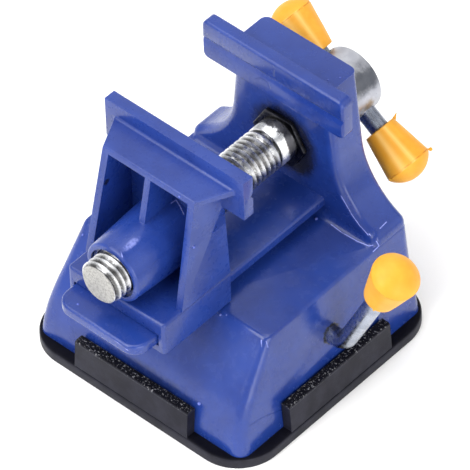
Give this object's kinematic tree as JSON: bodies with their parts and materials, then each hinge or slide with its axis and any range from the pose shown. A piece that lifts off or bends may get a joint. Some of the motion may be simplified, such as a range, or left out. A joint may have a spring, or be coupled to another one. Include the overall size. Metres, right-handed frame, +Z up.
{
  "type": "suction base bench vise",
  "caption": "Small bench vise: cast body on a square rubber suction pad, screw-driven sliding jaw with a T-bar handle, and a side lever that works the suction.",
  "frame": {"origin": "centre of the rubber pad's underside, where the released suction cup lies on the table", "axes": "+Z up; +Y along the screw, from the moving jaw to the fixed jaw and the handle; +X to the side of the suction lever"},
  "size_m": [0.0969, 0.0983, 0.0797],
  "materials": {
    "blue_paint": "glossy enamel over a die casting",
    "black_rubber": "matt moulded rubber",
    "zinc_steel": "bright zinc plate, turned and threaded",
    "black_steel": "blackened and greased",
    "yellow_vinyl": "soft satin vinyl"
  },
  "bodies": {
    "base": {"base_body": "blue_paint", "suction_pad": "black_rubber", "pad_membrane": "black_rubber", "shaft_washer": "black_steel", "thrust_washer": "zinc_steel"},
    "jaw": {"moving_jaw": "blue_paint"},
    "screw": {"lead_screw": "zinc_steel", "retaining_nut": "black_steel", "screw_head": "zinc_steel", "head_pin": "zinc_steel"},
    "bar": {"t_bar": "zinc_steel", "t_bar_cap_lower": "yellow_vinyl", "t_bar_cap_upper": "yellow_vinyl"},
    "lever": {"lever_rod": "zinc_steel", "lever_cap": "yellow_vinyl", "eccentric": "black_steel", "cam_pin": "black_steel", "shaft_clip": "black_steel"},
    "plunger": {"pull_stud": "black_steel", "pull_plate": "black_steel", "pad_button": "black_rubber"}
  },
  "joints": [
    {"name": "screw_turn", "type": "hinge", "parent": "base", "child": "screw", "pos_m": [0, 0, 0.0521], "axis": [0, 1, 0], "range_deg": [-6481, 1132]},
    {"name": "jaw_slide", "type": "slide", "parent": "base", "child": "jaw", "axis": [0, 1, 0], "range_m": [-0.0055, 0.0315]},
    {"name": "bar_slide", "type": "slide", "parent": "screw", "child": "bar", "axis": [0.8202, 0, -0.5721], "range_m": [-0.0049, 0.001]},
    {"name": "lever_swing", "type": "hinge", "parent": "base", "child": "lever", "pos_m": [0, 0.0015, 0.0188], "axis": [-1, 0, 0], "range_deg": [0, 90]},
    {"name": "plunger_lift", "type": "slide", "parent": "base", "child": "plunger", "axis": [0, 0, 1], "range_m": [0, 0.0031], "deforming": ["pad_membrane"]}
  ],
  "couplings": [
    {"joint": "screw_turn", "follows": "jaw_slide", "rad_per_m": -3590.4},
    {"joint": "plunger_lift", "follows": "lever_swing", "m_per_rad": 0.0019099}
  ]
}
